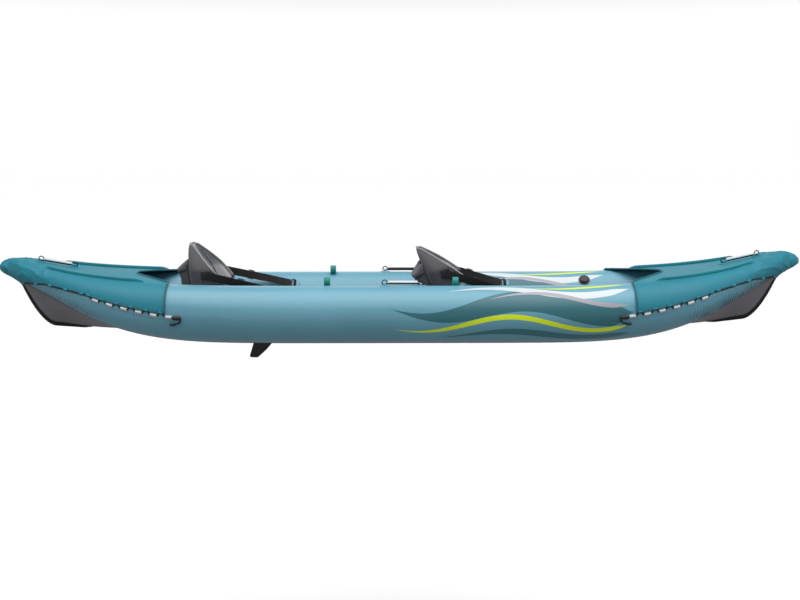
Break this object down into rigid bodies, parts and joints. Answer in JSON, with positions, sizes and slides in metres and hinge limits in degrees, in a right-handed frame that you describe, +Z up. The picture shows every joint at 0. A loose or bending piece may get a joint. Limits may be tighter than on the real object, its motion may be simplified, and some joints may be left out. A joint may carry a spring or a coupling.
{
  "type": "tandem kayak",
  "caption": "Inflatable kayak with side air chambers, ribbed floor, laced deck covers, folding seats, fin, handles and paddle keepers.",
  "frame": {"origin": "middle of the flat bottom of the skin, amidships on the centre plane", "axes": "+X to the bow, +Y to port, +Z up"},
  "size_m": [3.8372, 0.9396, 0.5568],
  "materials": {
    "tube_pvc": "satin coated fabric",
    "skin_pvc": "matte coated fabric",
    "cover_fabric": "satin coated fabric",
    "tab_pvc": "satin",
    "lace_cord": "braided cord",
    "grip_plastic": "satin",
    "keeper_webbing": "woven webbing",
    "seat_fabric": "mesh fabric",
    "seat_back_fabric": "woven fabric",
    "webbing": "woven webbing",
    "black_plastic": "moulded plastic"
  },
  "bodies": {
    "hull": {"port_tube": "tube_pvc", "starboard_tube": "tube_pvc", "floor_chamber": "tube_pvc", "hull_skin": "skin_pvc", "stern_stem_binding": "black_plastic", "bow_stem_binding": "black_plastic", "stern_deck_cover": "cover_fabric", "bow_deck_cover": "cover_fabric", "stern_spray_rails": "cover_fabric", "bow_spray_rails": "cover_fabric", "stern_lace_tabs": "tab_pvc", "bow_lace_tabs": "tab_pvc", "stern_starboard_lacing": "lace_cord", "stern_port_lacing": "lace_cord", "bow_starboard_lacing": "lace_cord", "bow_port_lacing": "lace_cord", "cord_locks": "black_plastic", "fin_box": "black_plastic", "rear_seat_base": "seat_fabric", "front_seat_base": "seat_fabric", "rear_seat_welt": "seat_back_fabric", "front_seat_welt": "seat_back_fabric", "seat_rings": "black_plastic", "seat_ring_patches": "tube_pvc", "rear_starboard_strap": "webbing", "rear_port_strap": "webbing", "front_starboard_strap": "webbing", "front_port_strap": "webbing", "rear_strap_buckles": "black_plastic", "front_strap_buckles": "black_plastic", "side_handle_patches": "tube_pvc", "deck_handle_patches": "cover_fabric", "paddle_keepers": "keeper_webbing", "starboard_valve": "black_plastic", "port_valve": "black_plastic", "floor_valve": "black_plastic"},
    "rear_backrest": {"rear_backrest": "seat_fabric", "rear_pouch": "seat_back_fabric", "rear_strap_anchors": "webbing"},
    "front_backrest": {"front_backrest": "seat_fabric", "front_pouch": "seat_back_fabric", "front_strap_anchors": "webbing"},
    "fin": {"fin": "black_plastic"},
    "starboard_handle": {"starboard_handle_rings": "black_plastic", "starboard_handle_grip": "grip_plastic"},
    "port_handle": {"port_handle_rings": "black_plastic", "port_handle_grip": "grip_plastic"},
    "bow_handle": {"bow_handle_rings": "black_plastic", "bow_handle_grip": "grip_plastic"},
    "stern_handle": {"stern_handle_rings": "black_plastic", "stern_handle_grip": "grip_plastic"},
    "starboard_valve_cap": {"starboard_valve_cap": "black_plastic"},
    "port_valve_cap": {"port_valve_cap": "black_plastic"},
    "floor_valve_cap": {"floor_valve_cap": "black_plastic"}
  },
  "joints": [
    {"name": "rear_backrest_fold", "type": "hinge", "parent": "hull", "child": "rear_backrest", "pos_m": [-0.96, 0, 0.1504], "axis": [0, 1, 0], "range_deg": [-16, 45], "deforming": ["rear_starboard_strap", "rear_port_strap"]},
    {"name": "front_backrest_fold", "type": "hinge", "parent": "hull", "child": "front_backrest", "pos_m": [0.197, 0, 0.1504], "axis": [0, 1, 0], "range_deg": [0, 60], "deforming": ["front_starboard_strap", "front_port_strap"]},
    {"name": "fin_slide", "type": "slide", "parent": "hull", "child": "fin", "axis": [-1, 0, 0], "range_m": [0, 0.1]},
    {"name": "starboard_handle_swing", "type": "hinge", "parent": "hull", "child": "starboard_handle", "pos_m": [0.009, -0.33969, 0.27059], "axis": [1, 0, 0], "range_deg": [-45, 45]},
    {"name": "port_handle_swing", "type": "hinge", "parent": "hull", "child": "port_handle", "pos_m": [0.009, 0.33969, 0.27059], "axis": [1, 0, 0], "range_deg": [-45, 45]},
    {"name": "bow_handle_swing", "type": "hinge", "parent": "hull", "child": "bow_handle", "pos_m": [1.64244, 0, 0.35847], "axis": [0.9763, 0, 0.2162], "range_deg": [-45, 45]},
    {"name": "stern_handle_swing", "type": "hinge", "parent": "hull", "child": "stern_handle", "pos_m": [-1.64278, 0, 0.33818], "axis": [0.9855, 0, -0.1698], "range_deg": [-45, 45]},
    {"name": "starboard_valve_cap_turn", "type": "hinge", "parent": "hull", "child": "starboard_valve_cap", "pos_m": [0.92924, -0.2275, 0.2355], "axis": [-0.076, 0.7487, 0.6585], "range_deg": [0, 90]},
    {"name": "port_valve_cap_turn", "type": "hinge", "parent": "hull", "child": "port_valve_cap", "pos_m": [0.92924, 0.2275, 0.2355], "axis": [-0.076, -0.7487, 0.6585], "range_deg": [0, 90]},
    {"name": "floor_valve_cap_turn", "type": "hinge", "parent": "hull", "child": "floor_valve_cap", "pos_m": [0.99, 0, 0.11], "axis": [0, 0, 1], "range_deg": [0, 90]}
  ]
}
